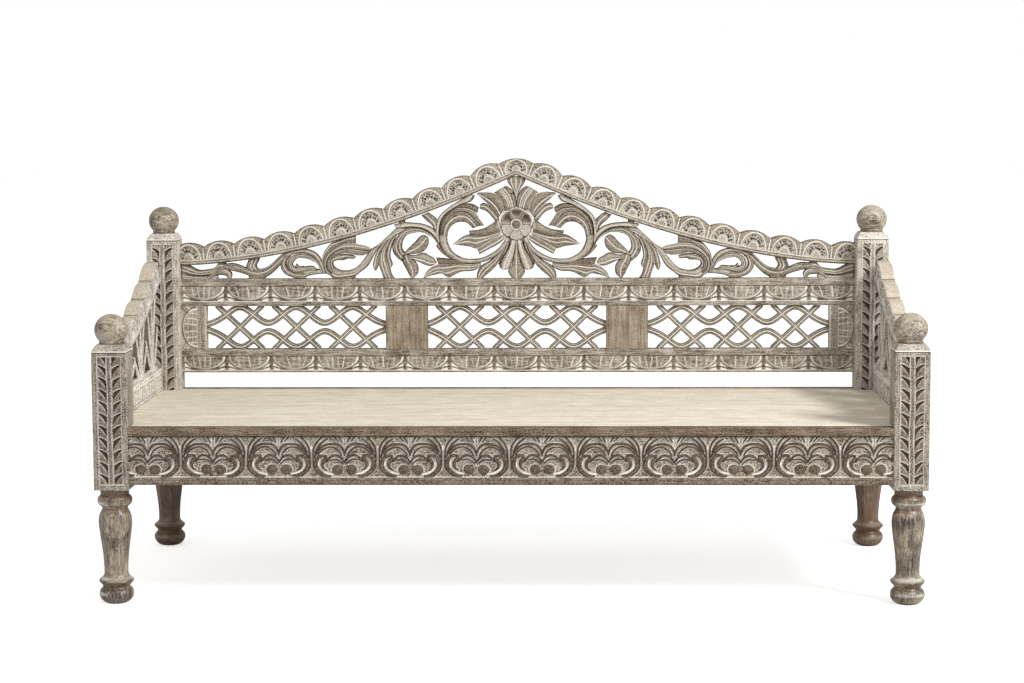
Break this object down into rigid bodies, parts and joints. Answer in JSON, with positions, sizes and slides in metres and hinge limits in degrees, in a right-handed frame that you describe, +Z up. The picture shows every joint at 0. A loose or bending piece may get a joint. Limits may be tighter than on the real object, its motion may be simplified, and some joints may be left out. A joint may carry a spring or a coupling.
{
  "type": "carved wooden daybed",
  "caption": "Carved, whitewashed wooden daybed with turned legs, ball finials, a gabled back of lattice and scrollwork, scalloped arms and a plank seat.",
  "frame": {"origin": "on the floor, at the middle of the daybed's footprint", "axes": "+X along the seat, +Y from the front to the back, +Z up"},
  "size_m": [2.0002, 0.8202, 1.056],
  "materials": {
    "carved_wood": "carved wood with white wash left in the cuts",
    "post_wood": "carved wood with white wash left in the cuts",
    "leg_wood": "turned and carved wood, worn white wash",
    "finial_wood": "turned wood, mottled white wash",
    "seat_wood": "pale washed planks",
    "plain_wood": "plain board, thin white wash",
    "frame_wood": "bare hidden wood",
    "screw_steel": "plain steel screws"
  },
  "bodies": {
    "root": {"arm_crest_left": "carved_wood", "arm_crest_right": "carved_wood", "arm_fret_left": "carved_wood", "arm_fret_right": "carved_wood", "arm_lower_rail_left": "carved_wood", "arm_lower_rail_right": "carved_wood", "back_lower_rail": "carved_wood", "back_mid_rail": "carved_wood", "back_muntin_left": "plain_wood", "back_muntin_right": "plain_wood", "back_rail": "frame_wood", "back_stile_left": "carved_wood", "back_stile_right": "carved_wood", "cleat_screws": "screw_steel", "crest_dowel": "frame_wood", "crest_left": "carved_wood", "crest_right": "carved_wood", "finial_back_left": "finial_wood", "finial_back_right": "finial_wood", "finial_front_left": "finial_wood", "finial_front_right": "finial_wood", "front_rail": "carved_wood", "lattice_center": "carved_wood", "lattice_left": "carved_wood", "lattice_right": "carved_wood", "leg_back_left": "leg_wood", "leg_back_right": "leg_wood", "leg_front_left": "leg_wood", "leg_front_right": "leg_wood", "pediment_scroll": "carved_wood", "post_back_left": "post_wood", "post_back_right": "post_wood", "post_front_left": "post_wood", "post_front_right": "post_wood", "rail_pegs": "frame_wood", "seat_bearer_1": "frame_wood", "seat_bearer_2": "frame_wood", "seat_bearer_3": "frame_wood", "seat_board_1": "seat_wood", "seat_board_2": "seat_wood", "seat_board_3": "seat_wood", "seat_board_4": "seat_wood", "seat_board_5": "seat_wood", "seat_cleat_back": "frame_wood", "seat_cleat_front": "frame_wood", "seat_cleat_left": "frame_wood", "seat_cleat_right": "frame_wood", "seat_nosing": "seat_wood", "side_rail_left": "carved_wood", "side_rail_right": "carved_wood"}
  },
  "joints": []
}
